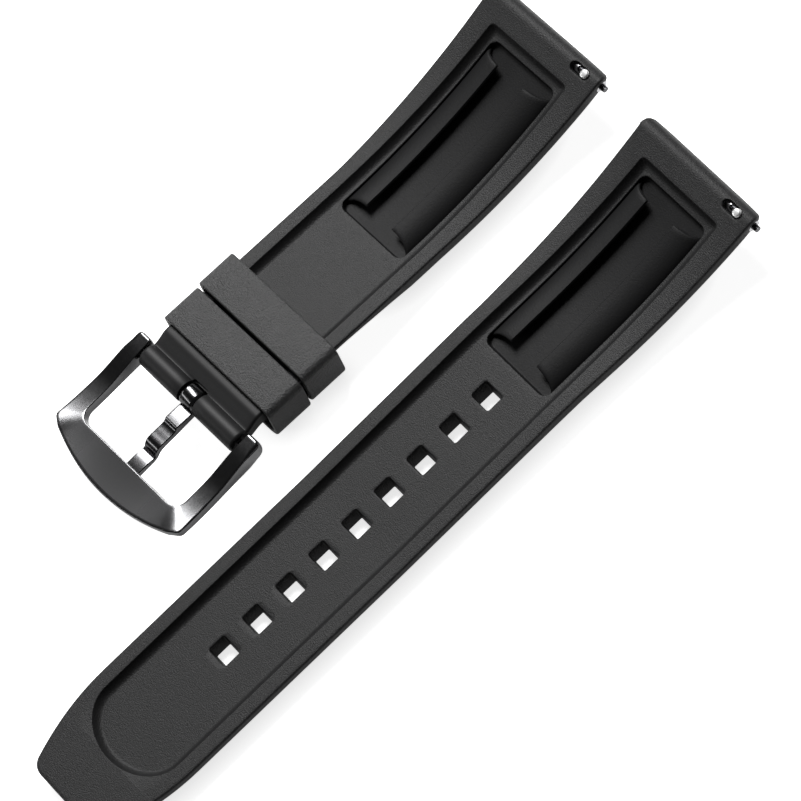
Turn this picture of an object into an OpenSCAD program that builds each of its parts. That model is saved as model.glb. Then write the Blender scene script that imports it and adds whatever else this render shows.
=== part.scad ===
// Two-piece rubber watch strap with a pin buckle, two keepers and two quick-release spring bars.
// It lies with its outer face down: X runs across the straps, Y towards the lug ends, Z up.

/* [Strap] */
// Width of the strap where it carries the buckle and the keepers
strap_w = 19.8; // [18:0.1:20]
// Width of the strap at the watch lugs
lug_w = 21.9; // [20.5:0.1:22.5]
// Thickness of both halves beside the finned pocket
lug_t = 4.7; // [4.6:0.1:5.3]
// Thickness of the holed tail
tail_t = 3.9; // [3.5:0.1:4.1]
// Thickness of the buckle half under its keepers
head_t = 2.4; // [2.3:0.1:2.8]
// Tail half, from the axis of its spring bar to its tip
tail_len = 116.5; // [108:0.5:130]
// Buckle half, from the axis of its spring bar to the axis of the buckle bar
head_len = 67.2; // [66:0.2:72]
// Distance between the two halves at their spring bars, centre to centre
pair_gap = 30.3; // [27:0.1:40]
// Angle between the two halves as they lie
pair_a = 1.5; // [0:0.1:3]
// Distance by which the buckle half's bar lies nearer the tips
pair_shift = 0.4; // [0:0.1:2]
// Outside radius of the moulded bend at each lug end
bend_r = 89.1; // [85:0.1:105]
// Angle by which each lug end is turned up at its spring bar
lug_a = 17.6; // [14:0.1:19]
// Width of the rounding along each edge of the outer face
edge_r = 3.5; // [2:0.1:4.5]
// Radius of the bowed sides of the tip
tip_bow_r = 37; // [30:1:60]
// Length of the part of the tip whose sides bow in
tail_tip_l = 15.5; // [12:0.5:20]

/* [Channel, pocket and holes] */
// Width of the channel along the wrist side
channel_w = 15.4; // [14:0.1:15.8]
// Depth of the channel below the rims
channel_d = 1; // [0.8:0.1:1.3]
// Solid rubber between the spring bar's axis and the channel
channel_start = 2.9; // [2.6:0.1:4]
// Solid rubber between the tip and the channel
channel_stop = 8; // [6:0.5:12]
// Width of the finned pocket
pocket_w = 12.4; // [11.6:0.2:12.8]
// Length of the finned pocket along the strap
pocket_len = 30.4; // [20:0.2:31]
// Thickness of rubber left under the pocket
pocket_floor = 2.7; // [2.2:0.1:2.9]
// Thickness of each fin
fin_t = 0.5; // [0.4:0.05:0.6]
// Clear width between the free edges of the two fins
fin_gap = 5.4; // [4:0.2:6]
// Number of holes for the tongue
hole_count = 9; // [5:1:9]
// Distance from one hole to the next
hole_pitch = 6; // [5:0.5:6]
// Size of a hole across the strap
hole_w = 3.4; // [3:0.1:4]
// Size of a hole along the strap
hole_l = 2.8; // [2.4:0.1:3.2]
// Distance from the tip to the first hole
hole_start = 28.6; // [24:0.2:34]

/* [Keepers] */
// Length of each keeper along the strap
keeper_l = 6.1; // [5:0.1:6.4]
// Wall of each keeper
keeper_t = 0.85; // [0.8:0.05:1.1]
// Outside radius of a keeper's corners on the wrist side
keeper_r = 1.7; // [1.3:0.1:1.9]

/* [Buckle] */
// Width of each buckle arm beside the crossbar
arm_w = 2.8; // [2.5:0.1:3.1]
// Thickness of the buckle frame
frame_t = 1.9; // [1.7:0.1:2.1]
// Reach of the buckle from its bar to the inner edge of the crossbar
frame_reach = 12.4; // [11:0.1:14]
// Width of the crossbar at its corners
crossbar_w = 2.3; // [2:0.1:3.5]
// Extra width of the crossbar in its middle
crossbar_bulge = 3; // [1.5:0.1:3.5]
// Height by which the crossbar bows towards the wrist
crossbar_bow = 0.7; // [0.3:0.1:1]
// Width of the tongue
tongue_w = 2.5; // [2.2:0.1:2.8]
// Thickness of the tongue
tongue_t = 1; // [0.8:0.05:1.1]

/* [Spring bars] */
// Outside diameter of a quick-release bar
qr_d = 1.8; // [1.7:0.05:1.9]
// Outside diameter of the buckle bar
bb_d = 1.6; // [1.5:0.05:1.7]
// Wall of each bar's tube
tube_t = 0.25; // [0.2:0.01:0.28]
// Diameter of the tips that enter the watch lugs
tip_d = 0.9; // [0.8:0.02:0.96]
// Diameter of the tips that enter the buckle arms
bb_tip_d = 0.8; // [0.7:0.02:0.86]
// Length of tip that stands out of each side of the strap
tip_out = 0.6; // [0.5:0.05:1.2]
// Travel of the release lever
lever_travel = 1.4; // [1.25:0.05:1.6]
// Diameter of the release lever's knob
knob_d = 1.3; // [1:0.05:1.35]

/* [Hidden] */
$fn = 64;

rubber = "#2c2c2e";
coated = "#1a1a1c";
steel = "#b9bbbd";

// Running clearance of metal in metal, and of a bar in its rubber tunnel
run = 0.05;
// Clearance of the free keeper on the strap, and of the buckle beside the end loop
slip = 0.25;
// Length by which a cut passes the surface it opens
over = 3;
// Depth by which one solid of a piece is set into the next
bite = 0.2;

// Lug bar's axis below the inner face and from the lug end, and radius of that end's outer corner
bar_depth = 1.7;
end_len = 1.45;
end_corner = 2.5;
// Length over which each lug end flares, and where the pocket lies
flare_len = 31.3;
pocket_start = 4.5;
pocket_stop = pocket_start + pocket_len;
pocket_d = lug_t - pocket_floor;
// Length of tail that thins from lug_t to tail_t
tail_ramp = 28;
// Keepers: the seam between them, and the distance from the buckle bar to the fixed one
seam = 0.4;
keeper_back = 4.7;
fixed_s = head_len - keeper_back - keeper_l;
free_s = fixed_s - seam - keeper_l;
keeper_gap = 0.1;
keeper_in_w = strap_w + 2 * slip;
keeper_in_h = head_t + tail_t + keeper_gap;
keeper_w = keeper_in_w + 2 * keeper_t;
keeper_h = keeper_in_h + 2 * keeper_t;
// Side notches that hold the fixed keeper
notch = 0.35;

// The inner face of the lug end follows an arc of radius rail_r that ends level, or leaning
rail_r = bend_r - lug_t;
lug_arc = rail_r * lug_a * PI / 180;
fixed_drop = keeper_h - keeper_t - keeper_gap / 2;
rise_run = fixed_s - lug_arc;
// The buckle half leans so that its fixed keeper just reaches the table
lean_a = (rise_run - sqrt(rise_run * rise_run - 2 * rail_r * (fixed_drop - lug_t))) / rail_r * 180 / PI;
tip_run = tail_len - lug_arc;
lug_reach = (rail_r + lug_t / 2) * sin(lug_a + end_len / rail_r * 180 / PI)
    + max(0, lug_w / 2 * sin(pair_a) - pair_shift);
belly_y = (tip_run - lug_reach) / 2;

// Buckle: the end loop round its bar, and the frame's widths
loop_r = 1.75;
loop_depth = 2;
loop_w = strap_w - 0.4;
slot_w = tongue_w + 0.9;
slot_back = 2.1;
frame_in_w = strap_w + 2 * slip;
frame_w = frame_in_w + 2 * arm_w;
eye_r = 1.7;
eye_w = arm_w - 0.4;
droop_a = 3;
frame_hole_d = eye_w - 0.9;

// The two halves lie either side of the origin
tail_x = pair_gap / 2;
head_x = -pair_gap / 2;

function arc_len(lean) = rail_r * (lug_a + lean) * PI / 180;
function rail_a(s, lean) = s < arc_len(lean) ? lug_a - s / rail_r * 180 / PI : -lean;
function rail_y(s, lean) =
    belly_y + rail_r * sin(rail_a(s, lean)) - max(0, s - arc_len(lean)) * cos(lean);
function rail_z(s, lean) =
    bend_r - rail_r * cos(rail_a(s, lean)) + max(0, s - arc_len(lean)) * sin(lean);
// A place on one half: across, along from the spring bar, and down from the rail
function place(x, s, d, lean) = [
    x,
    rail_y(s, lean) + d * sin(rail_a(s, lean)),
    rail_z(s, lean) - d * cos(rail_a(s, lean))];

function ramp(v, a, b) = min(1, max(0, (v - a) / (b - a)));
// Height lost at distance e from the end of a solid whose edge is rounded with radius r
function round_off(e, r) = e >= r ? 0 : r - sqrt(max(0, r * r - (r - e) * (r - e)));

function tail_thick(s) = lug_t - (lug_t - tail_t) * ramp(s, pocket_stop + 1, pocket_stop + 1 + tail_ramp);
function head_thick(s) = lug_t - (lug_t - head_t) * ramp(s, pocket_stop + 1, free_s - 1.5);
function lug_half_w(s) = strap_w / 2 + (lug_w - strap_w) / 2 * (1 - ramp(s, 0, flare_len));

// A closed skin over rings of points, each ring running down the left side and up the right
module skin(rings) {
    n = len(rings[0]);
    m = len(rings);
    sides = [for (i = [0 : m - 2], j = [0 : n - 1])
        let (a = i * n + j, b = i * n + (j + 1) % n, c = b + n, d = a + n)
        each [[a, d, c], [a, c, b]]];
    first = [for (j = [0 : n / 2 - 2]) each [[j, j + 1, n - 2 - j], [j, n - 2 - j, n - 1 - j]]];
    last = [for (f = first) [for (k = [2 : -1 : 0]) f[k] + (m - 1) * n]];
    polyhedron([for (r = rings) each r], concat(sides, first, last));
}

// Cross-section of a strap with rounded outer edges, from depth top to depth bottom
function strap_ring(half_w, s, top, bottom, lean) =
    let (h = bottom - top,
         r1 = min(0.3, h * 0.2),
         rise = h - r1 - 0.1,
         left = concat(
             [for (t = [0 : 45 : 90]) [-half_w + r1 * (1 - sin(t)), top + r1 * (1 - cos(t))]],
             [for (t = [0 : 15 : 90]) [-half_w + edge_r * (1 - cos(t)), bottom - rise * (1 - sin(t))]]))
    concat(
        [for (p = left) place(p[0], s, p[1], lean)],
        [for (k = [len(left) - 1 : -1 : 0]) place(-left[k][0], s, left[k][1], lean)]);

// Places along a lug end: its rounded end, then its bend up to the pocket's far end
lug_stations = concat(
    [-1, -0.97, -0.88, -0.7, -0.45] * end_len,
    [0, end_corner - end_len],
    [for (k = [1 : 11]) end_corner - end_len + k * (flare_len - end_corner + end_len) / 11]);

function lug_ring(s, top, bottom, lean) =
    strap_ring(
        lug_half_w(s) - round_off(s + end_len, 0.7),
        s,
        top + round_off(s + end_len, end_len),
        bottom - round_off(s + end_len, end_corner),
        lean);

function tip_ring(e) =
    let (s = tail_len - e,
         bow = max(0, tail_tip_l - e))
    strap_ring(
        strap_w / 2 - bow * bow / 2 / tip_bow_r - round_off(e, 1.4),
        s,
        lug_t - tail_thick(s) + round_off(e, 0.4),
        lug_t - round_off(e, 2.2),
        0);

// A cutter with upright walls, open above the strap: each entry is [along, half width]
module trench(entries, depth, lean, tail) {
    skin([for (p = entries)
        let (d = depth + (tail ? lug_t - tail_thick(p[0]) : 0))
        [place(-p[1], p[0], -over, lean), place(-p[1], p[0], d, lean),
         place(p[1], p[0], d, lean), place(p[1], p[0], -over, lean)]]);
}

channel_lug_w = channel_w - 0.6;
function channel_half(s) = (channel_lug_w + (channel_w - channel_lug_w) * ramp(s, 0, flare_len)) / 2;

module channel(stop, round_l, lean, tail) {
    start = channel_start;
    trench(concat(
        [for (k = [0 : 13]) let (s = start + k * (flare_len + 1 - start) / 13) [s, channel_half(s)]],
        tail ? [[pocket_stop + 1 + tail_ramp, channel_w / 2]] : [[free_s - 1.5, channel_w / 2]],
        [for (t = [0 : 10 : 80]) [stop - round_l * (1 - sin(t)), channel_w / 2 * cos(t * 0.98)]],
        [[stop, channel_w / 2 * 0.12]]), channel_d, lean, tail);
}

module pocket(lean) {
    corner = 1.2;
    trench(concat(
        [for (t = [0 : 30 : 90])
            [pocket_start + corner * (1 - cos(t)), pocket_w / 2 - corner * (1 - sin(t))]],
        [for (k = [1 : 9]) [pocket_start + corner + k * (pocket_len - 2 * corner) / 10, pocket_w / 2]],
        [for (t = [90 : -30 : 0])
            [pocket_stop - corner * (1 - cos(t)), pocket_w / 2 - corner * (1 - sin(t))]]),
        pocket_d, lean, false);
}

// Half profile of a fin, from its root on the pocket floor to its free edge near the rims
fin_reach = pocket_w / 2 - 0.45 - fin_gap / 2;
fin_rise = pocket_d - 0.35;
function fin_curve(reach, rise, t) = [
    -fin_gap / 2 - reach * pow(cos(t), 0.8),
    pocket_d - rise * pow(sin(t), 0.8)];

// A fin curls from its root over the pocket, and its ends are cut back towards the free edge
module fin(lean) {
    steps = [0 : 15 : 90];
    cut_back = 1.6;
    root_gap = 0.5;
    inner = concat(
        [[-fin_gap / 2 - fin_reach + fin_t, pocket_d + bite, 0]],
        [for (t = steps) concat(fin_curve(fin_reach - fin_t, fin_rise - fin_t, t), [t / 90])]);
    outer = concat(
        [[-fin_gap / 2 - fin_reach, pocket_d + bite, 0]],
        [for (t = steps) concat(fin_curve(fin_reach, fin_rise, t), [t / 90])]);
    loop = concat(inner, [for (k = [len(outer) - 1 : -1 : 0]) outer[k]]);
    skin([for (k = [0 : 12])
        [for (p = loop)
            let (back = root_gap + cut_back * (1 - (1 - p[2]) ^ 2),
                 from = pocket_start + back,
                 to = pocket_stop - back)
            place(p[0], from + (to - from) * k / 12, p[1], lean)]]);
}

module fins(lean) {
    fin(lean);
    mirror([1, 0, 0]) fin(lean);
}

// Puts children on the tail half, or on the buckle half, which is turned about its spring bar
module at_tail() {
    translate([tail_x, 0, 0]) children();
}

module at_head() {
    bar_y = place(0, 0, bar_depth, 0)[1];
    translate([head_x, bar_y - pair_shift, 0]) rotate([0, 0, pair_a]) translate([0, -bar_y, 0]) children();
}

// Puts children in the frame of the lug bar: X along its axis, Z out of the inner face
module at_lug_bar(lean) {
    translate(place(0, 0, bar_depth, lean)) rotate([lug_a, 0, 0]) children();
}

// Puts children in the frame of the buckle bar, with Y towards the lug end
module at_buckle_bar() {
    at_head() translate(place(0, head_len, loop_depth, lean_a)) children();
}

module rod(d, from, to) {
    translate([from, 0, 0]) rotate([0, 90, 0]) cylinder(d = d, h = to - from);
}

// A slot of length along X with round ends, cut upwards from the bar's axis
module window(from, to, w, h) {
    for (x = [from + w / 2, to - w / 2]) translate([x, 0, 0]) cylinder(d = w, h = h);
    translate([from + w / 2, -w / 2, 0]) cube([to - from - w, w, h]);
}

// Quick-release bar: lengths along its axis from the middle of the strap
qr_half = lug_w / 2 - 0.2;
qr_bore = qr_d - 2 * tube_t;
crimp = 0.3;
knob_x = lug_w / 2 - 2.5;
knob_neck = 0.8;
plunger_l = 4.8;
plunger_end = qr_half - crimp - run;
plunger_start = plunger_end - plunger_l;
tip_step = 0.1;
fixed_plug_l = 9.4;
spring_start = -plunger_end + fixed_plug_l;
window_w = knob_d + 0.2;
window_start = knob_x - lever_travel - knob_d / 2 - 0.6;
window_stop = knob_x + knob_d / 2 + 0.1;

module bar_tube(d, half_l, tip) {
    difference() {
        rod(d, -half_l, half_l);
        rod(d - 2 * tube_t, -half_l + crimp, half_l - crimp);
        rod(tip + 2 * run, -half_l - 1, half_l + 1);
    }
}

module qr_tube() {
    difference() {
        bar_tube(qr_d, qr_half, tip_d);
        window(knob_x - lever_travel - knob_neck / 2 - 0.1, knob_x + knob_neck / 2 + 0.1,
               knob_neck + 2 * run, qr_d);
    }
}

// Tip that enters a watch lug: straight outside the strap, a little wider towards its root
module lug_tip() {
    root = plunger_end - bite;
    step = lug_w / 2 + tip_step;
    rotate([0, 90, 0]) rotate_extrude()
        polygon([[0, root], [tip_d / 2 + 0.02, root], [tip_d / 2, step], [tip_d / 2, lug_w / 2 + tip_out],
                 [0, lug_w / 2 + tip_out]]);
}

module qr_fixed_tip() {
    rod(qr_bore - 0.02, -plunger_end, spring_start);
    mirror([1, 0, 0]) lug_tip();
}

module qr_plunger() {
    difference() {
        union() {
            rod(qr_bore - 2 * run, plunger_start, plunger_end);
            lug_tip();
        }
        translate([knob_x, 0, -qr_bore / 4]) cylinder(d = knob_neck + 0.02, h = qr_bore);
    }
}

module qr_lever() {
    knob_from = qr_d / 2 + 0.1;
    translate([knob_x, 0, -qr_bore / 4]) cylinder(d = knob_neck, h = knob_from + qr_bore / 4 + bite);
    translate([knob_x, 0, knob_from]) cylinder(d = knob_d, h = bar_depth + 0.15 - knob_from);
    translate([knob_x, 0, bar_depth + 0.15]) cylinder(d1 = knob_d, d2 = knob_d - 0.4, h = 0.2);
}

// A coil of round wire along X
module coil(from, to, coil_d, wire_d, turns) {
    per_turn = 8;
    sides = 6;
    span = to - from - wire_d;
    skin([for (k = [0 : turns * per_turn])
        let (t = k * 360 / per_turn,
             x = from + wire_d / 2 + span * k / (turns * per_turn),
             r = (coil_d - wire_d) / 2)
        [for (j = [0 : sides - 1])
            let (q = -(j + 0.5) * 360 / sides,
                 rr = r + wire_d / 2 * cos(q))
            [x + wire_d / 2 * sin(q), rr * cos(t), rr * sin(t)]]]);
}

module qr_spring() {
    coil(spring_start, plunger_start, qr_bore - 0.12, 0.22, 11);
}

// Both halves share the lug end: channel, pocket, tunnel and window are cut from their body
module lug_cuts(lean) {
    pocket(lean);
    at_lug_bar(lean) {
        rod(qr_d + 2 * run, -lug_w, lug_w);
        window(window_start, window_stop, window_w, bar_depth + over);
    }
}

module hole_prism() {
    corner = 0.3;
    linear_extrude(lug_t + 2 * over)
        polygon([for (q = [0 : 3], t = [0 : 30 : 90])
            let (a = q * 90 + t, sx = (q == 0 || q == 3) ? 1 : -1, sy = q < 2 ? 1 : -1)
            [sx * (hole_w / 2 - corner) + corner * cos(a), sy * (hole_l / 2 - corner) + corner * sin(a)]]);
}

module tail_strap() {
    thin = pocket_stop + 1 + tail_ramp;
    tip_y = rail_y(tail_len, 0);
    color(rubber) at_tail() {
        difference() {
            skin(concat(
                [for (s = lug_stations) lug_ring(s, 0, lug_t, 0)],
                [for (s = [pocket_stop + 1, thin])
                    strap_ring(strap_w / 2, s, lug_t - tail_thick(s), lug_t, 0)],
                [for (k = [0 : 5]) tip_ring(tail_tip_l - k * (tail_tip_l - 4.5) / 5)],
                [for (e = [3.4, 2.2, 1.4, 0.9, 0.5, 0.2, 0.05, 0]) tip_ring(e)]));
            channel(tail_len - channel_stop, 6.1, 0, true);
            lug_cuts(0);
            for (k = [0 : hole_count - 1])
                translate([0, tip_y + hole_start + k * hole_pitch, -over]) hole_prism();
        }
        fins(0);
    }
}

// Side view of the end loop, with Y towards the strap and Z up from the bar's axis
module loop_profile() {
    join = keeper_back + 0.6;
    neck = 1.4;
    neck_stop = 3.6;
    low = loop_depth - head_t;
    function blend(t) = t * t * (3 - 2 * t);
    union() {
        circle(r = loop_r);
        polygon(concat(
            [[join, loop_depth], [join, low]],
            [for (k = [0 : 6]) let (y = neck_stop - (neck_stop - neck) * k / 6)
                [y, low - (1.05 + low) * blend(k / 6)]],
            [[0.2, -1], [0.2, 1]],
            [for (k = [0 : 6]) let (y = neck + (neck_stop - neck) * k / 6)
                [y, 1.05 + (loop_depth - 1.05) * blend(k / 6)]]));
    }
}

module buckle_strap() {
    body_stop = head_len - keeper_back - 0.1;
    color(rubber) {
        at_head() {
            difference() {
                skin(concat(
                    [for (s = lug_stations) lug_ring(s, 0, lug_t, lean_a)],
                    [for (s = [pocket_stop + 1, free_s - 1.5, body_stop])
                        strap_ring(strap_w / 2, s, 0, head_thick(s), lean_a)]));
                channel(fixed_s + keeper_l / 2, 2, lean_a, false);
                lug_cuts(lean_a);
                for (side = [-1, 1])
                    translate(place(0, fixed_s + keeper_l / 2, 0, lean_a)) rotate([-lean_a, 0, 0])
                        translate([side * strap_w / 2, 0, 0])
                        cube([2 * notch, keeper_l + 0.1, 4 * head_t], center = true);
            }
            fins(lean_a);
        }
        at_buckle_bar() rotate([-lean_a, 0, 0]) difference() {
            translate([-loop_w / 2, 0, 0]) rotate([90, 0, 90]) linear_extrude(loop_w) loop_profile();
            rod(bb_d + 2 * run, -strap_w, strap_w);
            translate([-slot_w / 2, slot_back - 2 * over, -over]) cube([slot_w, 2 * over, 2 * over]);
        }
    }
}

// A rectangle with one corner radius above and another below
module soft_rect(w, h, r_top, r_low) {
    polygon(concat(
        [for (t = [0 : 15 : 90]) [w / 2 - r_top + r_top * cos(t), h / 2 - r_top + r_top * sin(t)]],
        [for (t = [90 : 15 : 180]) [-w / 2 + r_top + r_top * cos(t), h / 2 - r_top + r_top * sin(t)]],
        [for (t = [180 : 15 : 270]) [-w / 2 + r_low + r_low * cos(t), -h / 2 + r_low + r_low * sin(t)]],
        [for (t = [270 : 15 : 360]) [w / 2 - r_low + r_low * cos(t), -h / 2 + r_low + r_low * sin(t)]]));
}

// A keeper round the strap from s towards the buckle, its inner top lift above the rail
module keeper(s, lift) {
    mid = lift - keeper_in_h / 2;
    at_head() translate(place(0, s, 0, lean_a)) rotate([-lean_a, 0, 0])
        translate([0, 0, mid]) rotate([90, 0, 0]) linear_extrude(keeper_l) difference() {
            soft_rect(keeper_w, keeper_h, keeper_r, 2.8);
            soft_rect(keeper_in_w, keeper_in_h, 0.6, 1.9);
        }
}

// The fixed keeper has a tab on each inner side that sits in the strap's notch
module fixed_keeper() {
    tab_w = slip + notch - 0.03;
    tab_h = head_t * 0.6;
    color(rubber) {
        keeper(fixed_s, keeper_gap / 2);
        for (side = [-1, 1])
            at_head() translate(place(0, fixed_s, 0, lean_a)) rotate([-lean_a, 0, 0])
                translate([side * (keeper_in_w / 2 - tab_w / 2 + bite / 2), -keeper_l / 2, -head_t / 2])
                cube([tab_w + bite, keeper_l - 1, tab_h], center = true);
    }
}

// The free keeper stands on the table at its lower edge
module free_keeper() {
    stand = rail_z(free_s, lean_a) / cos(lean_a);
    color(rubber) keeper(free_s, keeper_h - keeper_t - stand);
}

function corner_arc(x, y, r, from, to) =
    [for (k = [0 : 5]) let (t = from + (to - from) * k / 5) [x + r * cos(t), y + r * sin(t)]];

// Plan of the frame, with the bar along X through the origin and the crossbar towards -Y
module frame_plan() {
    corner_y = -frame_reach - crossbar_w;
    half = frame_w / 2;
    inner = frame_in_w / 2;
    soft = 0.8;
    inner_r = 1.8;
    left = concat(
        corner_arc(-inner - soft, eye_r - soft, soft, 0, 90),
        corner_arc(-inner - eye_w + soft, eye_r - soft, soft, 90, 180),
        [[-inner - eye_w, 0]],
        corner_arc(-half + soft, corner_y + soft, soft, 180, 235),
        [for (k = [7 : -1 : 1]) [-half * k / 8, corner_y - crossbar_bulge * (1 - pow(k / 8, 2))]]);
    right = [for (k = [len(left) - 1 : -1 : 0]) [-left[k][0], left[k][1]]];
    polygon(concat(
        left,
        [[0, corner_y - crossbar_bulge]],
        right,
        corner_arc(inner - inner_r, -frame_reach + inner_r, inner_r, 0, -90),
        corner_arc(-inner + inner_r, -frame_reach + inner_r, inner_r, -90, -180)));
}

// Side view of the frame: round eyes at the bar, and a crossbar that bows up
module frame_side() {
    far = frame_reach + crossbar_w + crossbar_bulge + 1;
    bow_from = 5;
    top = frame_t * 0.47;
    function bow(y) = crossbar_bow * pow(max(0, y - bow_from) / (far - bow_from), 2);
    circle(r = eye_r);
    polygon(concat(
        [[0, -frame_t + top], [0, top]],
        [for (k = [0 : 8]) let (y = bow_from + (far - bow_from) * k / 8) [-y, top + bow(y) - 0.2 * k / 8]],
        [for (k = [8 : -1 : 0]) let (y = bow_from + (far - bow_from) * k / 8)
            [-y, top - frame_t + bow(y) + 0.2 * k / 8]]));
}

module buckle_frame() {
    color(coated) at_buckle_bar() rotate([droop_a, 0, 0]) difference() {
        intersection() {
            translate([0, 0, -10]) linear_extrude(20) frame_plan();
            translate([-frame_w, 0, 0]) rotate([90, 0, 90]) linear_extrude(2 * frame_w) frame_side();
        }
        for (side = [0, 180])
            rotate([0, 0, side]) rod(bb_tip_d + 2 * run, frame_in_w / 2 - 1, frame_in_w / 2 + frame_hole_d);
    }
}

// Side view of the tongue: a knuckle round the bar and a blade that dips under the crossbar
module tongue_side() {
    tip = frame_reach + crossbar_w + 0.3;
    under = -frame_t * 0.53 - frame_reach * sin(droop_a) - 0.1;
    top = -0.7;
    circle(r = loop_r - 0.05);
    polygon([[0, top + 0.3], [0, -loop_r + 0.05], [-6.3, top - tongue_t - 0.15],
             [-frame_reach + 1.6, under - tongue_t], [-tip + 0.6, under - tongue_t + 0.1],
             [-tip, under - tongue_t * 0.6], [-tip, under - 0.25], [-tip + 0.5, under - 0.02],
             [-frame_reach + 1.6, under], [-6.5, top - 0.15], [-1.5, top]]);
}

module buckle_tongue() {
    color(coated) at_buckle_bar() difference() {
        union() {
            translate([-tongue_w / 2, 0, 0]) rotate([90, 0, 90]) linear_extrude(tongue_w) tongue_side();
            rod(2 * loop_r - 0.1, -slot_w / 2 + 0.25, slot_w / 2 - 0.25);
        }
        rod(bb_d + 2 * run, -slot_w, slot_w);
    }
}

// Buckle bar: a tube in the end loop, and two sprung tips that enter the frame
bb_half = loop_w / 2 - 0.05;
bb_bore = bb_d - 2 * tube_t;
bb_head_l = 2.4;
bb_head_end = bb_half - crimp - run;
bb_reach = frame_in_w / 2 + frame_hole_d - 0.25;

module bb_tip() {
    rod(bb_bore - 2 * run, bb_head_end - bb_head_l, bb_head_end);
    rod(bb_tip_d, bb_head_end - bite, bb_reach);
}

module tail_bar_tube() { color(steel) at_tail() at_lug_bar(0) qr_tube(); }
module tail_bar_fixed_tip() { color(steel) at_tail() at_lug_bar(0) qr_fixed_tip(); }
module tail_bar_plunger() { color(steel) at_tail() at_lug_bar(0) qr_plunger(); }
module tail_bar_lever() { color(steel) at_tail() at_lug_bar(0) qr_lever(); }
module tail_bar_spring() { color(steel) at_tail() at_lug_bar(0) qr_spring(); }
module head_bar_tube() { color(steel) at_head() at_lug_bar(lean_a) qr_tube(); }
module head_bar_fixed_tip() { color(steel) at_head() at_lug_bar(lean_a) qr_fixed_tip(); }
module head_bar_plunger() { color(steel) at_head() at_lug_bar(lean_a) qr_plunger(); }
module head_bar_lever() { color(steel) at_head() at_lug_bar(lean_a) qr_lever(); }
module head_bar_spring() { color(steel) at_head() at_lug_bar(lean_a) qr_spring(); }
module buckle_bar_tube() { color(steel) at_buckle_bar() bar_tube(bb_d, bb_half, bb_tip_d); }
module buckle_bar_tip_right() { color(steel) at_buckle_bar() bb_tip(); }
module buckle_bar_tip_left() { color(steel) at_buckle_bar() mirror([1, 0, 0]) bb_tip(); }
module buckle_bar_spring() {
    stop = bb_head_end - bb_head_l;
    color(steel) at_buckle_bar() coil(-stop, stop, bb_bore - 0.12, 0.2, 15);
}

tail_strap();
tail_bar_tube();
tail_bar_fixed_tip();
tail_bar_plunger();
tail_bar_lever();
tail_bar_spring();
buckle_strap();
head_bar_tube();
head_bar_fixed_tip();
head_bar_plunger();
head_bar_lever();
head_bar_spring();
fixed_keeper();
free_keeper();
buckle_frame();
buckle_tongue();
buckle_bar_tube();
buckle_bar_tip_left();
buckle_bar_tip_right();
buckle_bar_spring();
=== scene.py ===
import math

import bmesh
import bpy
import numpy as np
from mathutils import Matrix, Vector

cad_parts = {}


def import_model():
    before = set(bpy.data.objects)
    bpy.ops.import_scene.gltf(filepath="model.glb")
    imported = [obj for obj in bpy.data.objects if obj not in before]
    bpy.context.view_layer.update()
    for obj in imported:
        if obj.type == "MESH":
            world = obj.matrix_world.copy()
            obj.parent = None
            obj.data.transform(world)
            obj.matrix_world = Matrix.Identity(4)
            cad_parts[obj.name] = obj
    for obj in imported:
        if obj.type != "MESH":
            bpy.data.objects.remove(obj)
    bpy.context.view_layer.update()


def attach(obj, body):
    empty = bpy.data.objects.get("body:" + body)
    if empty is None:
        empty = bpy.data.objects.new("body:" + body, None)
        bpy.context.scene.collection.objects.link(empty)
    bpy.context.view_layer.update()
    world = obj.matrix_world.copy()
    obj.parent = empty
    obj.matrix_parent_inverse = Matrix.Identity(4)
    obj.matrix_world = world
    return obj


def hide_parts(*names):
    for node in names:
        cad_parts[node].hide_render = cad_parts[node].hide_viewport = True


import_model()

MM = 0.001

# Driving sizes of the strap, in millimetres. They are the construction's, except that the keepers' upper
# corners are tighter and the tongue's slot is less deep.

# Widths of strap and lug end, and thickness at the lugs, of the holed half and under the keepers
STRAP_W, LUG_W = 19.8, 21.9
LUG_T, TAIL_T, HEAD_T = 4.7, 3.9, 2.4
# Lengths of the halves from their spring bars, and how they lie: distance, angle, shift
TAIL_LEN, HEAD_LEN = 116.5, 67.2
PAIR_GAP, PAIR_A, PAIR_SHIFT = 30.3, 1.5, 0.4
# Bend of the lug ends, then radius of the outer edges, and radius and length of the tip's bowed sides
BEND_R, LUG_A = 89.1, 17.6
EDGE_R, TIP_BOW_R, TIP_L = 3.5, 37.0, 15.5
# Channel: widths and depth, its distances from the two ends, and the length of its round end
CHANNEL_W, CHANNEL_LUG_W, CHANNEL_D = 15.4, 14.8, 1.0
CHANNEL_START, CHANNEL_STOP, CHANNEL_ROUND = 2.9, 8.0, 6.1
# Pocket, with its floor's height over the outer face, and its fins
POCKET_W, POCKET_LEN, POCKET_START, POCKET_FLOOR = 12.4, 30.4, 4.5, 2.7
FIN_T, FIN_GAP = 0.5, 5.4
# Tongue holes, with the first one's distance from the tip
HOLES, HOLE_PITCH, HOLE_W, HOLE_L, HOLE_START = 9, 6.0, 3.4, 2.8, 28.6
# Keepers: length, thickness, outer radii above and below, then place, seam between them, and play
KEEPER_L, KEEPER_T, KEEPER_R, KEEPER_LOW_R = 6.1, 0.85, 1.25, 2.8
KEEPER_BACK, SEAM, SLIP, KEEPER_GAP = 4.7, 0.4, 0.25, 0.1
# Buckle and tongue
ARM_W, FRAME_T, FRAME_REACH = 2.8, 1.9, 12.4
CROSSBAR_W, CROSSBAR_BULGE, CROSSBAR_BOW = 2.3, 3.0, 0.7
TONGUE_W, TONGUE_T = 2.5, 1.0
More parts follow.
